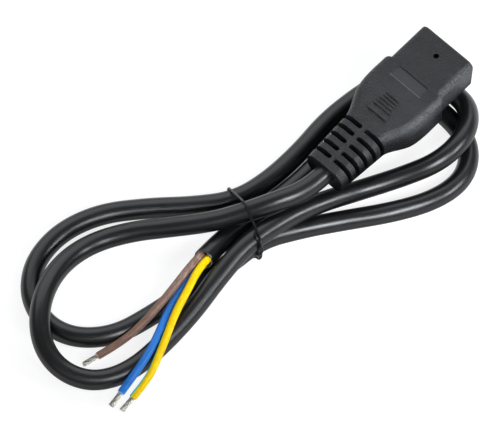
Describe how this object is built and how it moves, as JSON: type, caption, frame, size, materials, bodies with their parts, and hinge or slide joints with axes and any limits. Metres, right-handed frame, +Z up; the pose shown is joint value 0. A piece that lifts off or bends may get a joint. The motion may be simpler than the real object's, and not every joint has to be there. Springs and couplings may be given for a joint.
{
  "type": "c19 power connector",
  "caption": "Moulded appliance connector with a slotted strain relief on a round black cable, laid in a loose wire-tied hank, its far end cut back to insulated cores with bare tinned tips.",
  "frame": {"origin": "centre of the connector's mating face", "axes": "+Y the way the connector is pushed onto an inlet, +Z up from the surface that the cable lies on, +X to the right seen from the cable side"},
  "size_m": [0.1172, 0.2218, 0.0344],
  "materials": {
    "overmould_black": "fine grained matte",
    "carrier_black": "smooth",
    "contact_brass": "plain",
    "jacket_black": "semi-gloss",
    "core_brown": "semi-gloss",
    "core_blue": "semi-gloss",
    "core_green_yellow": "semi-gloss, yellow with a green stripe",
    "tinned_strands": "tinned",
    "tie_coating": "semi-gloss",
    "tie_steel": "plain"
  },
  "bodies": {
    "root": {"overmould": "overmould_black", "contact_carrier": "carrier_black", "carrier_cap": "carrier_black", "line_contact": "contact_brass", "neutral_contact": "contact_brass", "earth_contact": "contact_brass", "cable_jacket": "jacket_black", "line_insulation": "core_brown", "neutral_insulation": "core_blue", "earth_insulation": "core_green_yellow", "line_conductor": "tinned_strands", "neutral_conductor": "tinned_strands", "earth_conductor": "tinned_strands", "tie_coating": "tie_coating", "tie_wire": "tie_steel"}
  },
  "joints": []
}
